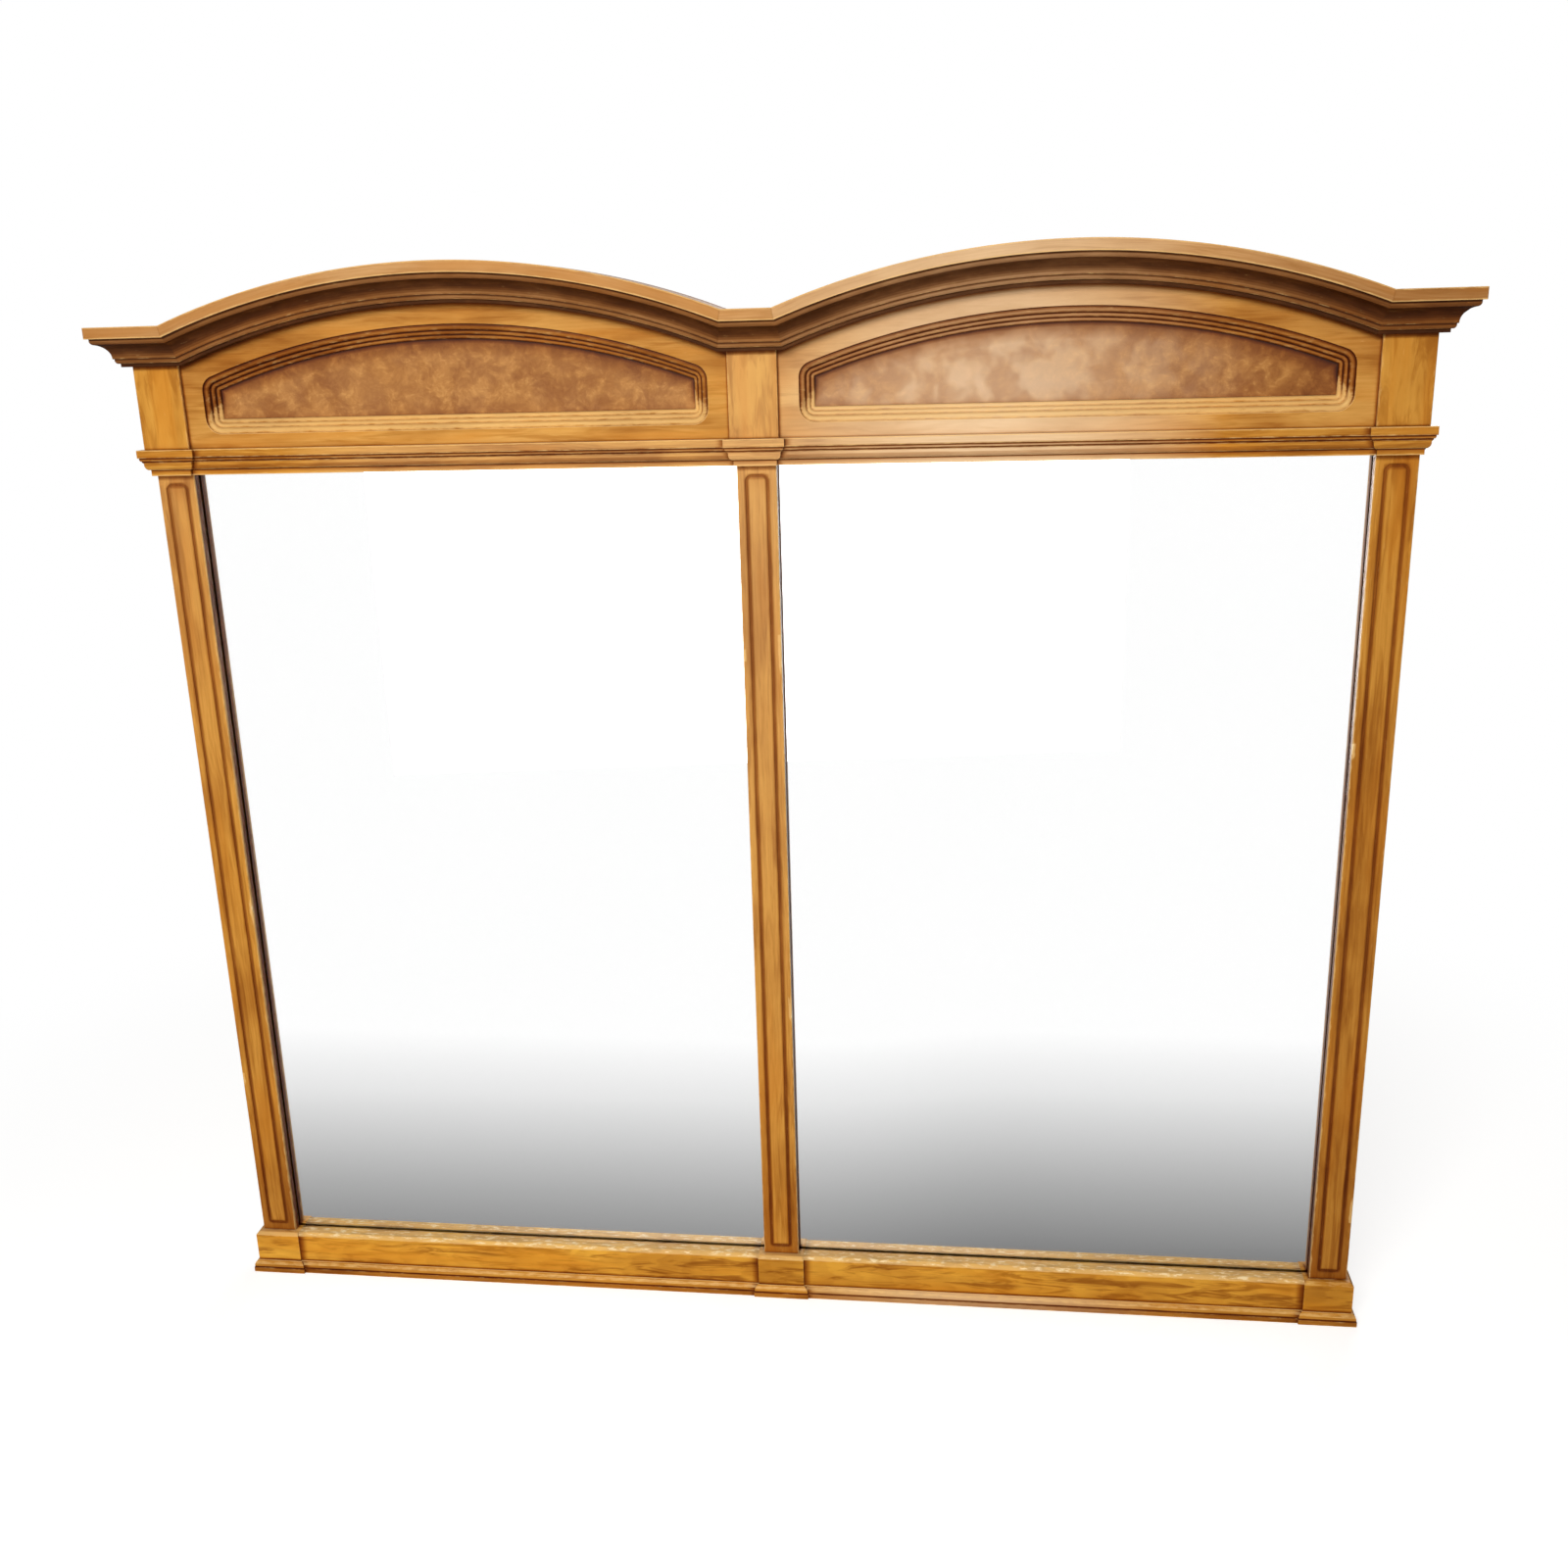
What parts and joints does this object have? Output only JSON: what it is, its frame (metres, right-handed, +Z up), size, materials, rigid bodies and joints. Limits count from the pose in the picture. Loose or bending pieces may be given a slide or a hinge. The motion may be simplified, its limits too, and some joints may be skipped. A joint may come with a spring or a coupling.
{
  "type": "landscape dresser mirror",
  "caption": "Wide dresser or wall mirror: wooden frame with grooved pilasters, plinth rail, burl frieze panels and an arched crown moulding over mirror glass.",
  "frame": {"origin": "middle of the base, at the foot of the plinth and half way between the front of the crown and the back", "axes": "+X to the viewer's right, the mirror faces -Y, +Z up"},
  "size_m": [1.5714, 0.075, 1.3569],
  "materials": {
    "frame_wood": "honey-brown stained wood, satin lacquer",
    "frieze_wood": "orange-brown stained wood, satin lacquer",
    "crown_wood": "darker brown stained wood, satin lacquer",
    "burl_veneer": "mottled burl veneer, satin lacquer",
    "dowel_beech": "plain",
    "hardboard": "brown hardboard, smooth",
    "mirror": "silvered glass",
    "screw_steel": "zinc plated",
    "insert_brass": "plain"
  },
  "bodies": {
    "root": {"post_centre": "frame_wood", "post_right": "frame_wood", "post_left": "frame_wood", "plinth_block_centre": "frame_wood", "plinth_block_right": "frame_wood", "plinth_block_left": "frame_wood", "bottom_rail_right": "frame_wood", "bottom_rail_left": "frame_wood", "base_moulding_rail_right": "frame_wood", "base_moulding_rail_left": "frame_wood", "base_moulding_front_centre": "frame_wood", "base_moulding_front_right": "frame_wood", "base_moulding_front_left": "frame_wood", "base_moulding_return_right": "frame_wood", "base_moulding_return_left": "frame_wood", "base_moulding_centre_return_right": "frame_wood", "base_moulding_centre_return_left": "frame_wood", "base_moulding_inner_return_right": "frame_wood", "base_moulding_inner_return_left": "frame_wood", "string_rail_right": "frame_wood", "string_rail_left": "frame_wood", "capital_front_centre": "frame_wood", "capital_front_right": "frame_wood", "capital_front_left": "frame_wood", "capital_return_right": "frame_wood", "capital_return_left": "frame_wood", "capital_centre_return_right": "frame_wood", "capital_centre_return_left": "frame_wood", "capital_inner_return_right": "frame_wood", "capital_inner_return_left": "frame_wood", "frieze_block_centre": "frame_wood", "frieze_block_right": "frame_wood", "frieze_block_left": "frame_wood", "frieze_board_right": "frieze_wood", "frieze_board_left": "frieze_wood", "burl_panel_right": "burl_veneer", "burl_panel_left": "burl_veneer", "crown_arch_right": "crown_wood", "crown_arch_left": "crown_wood", "crown_flat_centre": "crown_wood", "crown_flat_right": "crown_wood", "crown_flat_left": "crown_wood", "crown_return_right": "crown_wood", "crown_return_left": "crown_wood", "mirror_glass_right": "mirror", "mirror_glass_left": "mirror", "backing_board_right": "hardboard", "backing_board_left": "hardboard", "joint_dowels": "dowel_beech", "backing_screws": "screw_steel", "crown_screws": "screw_steel", "support_inserts": "insert_brass"}
  },
  "joints": []
}
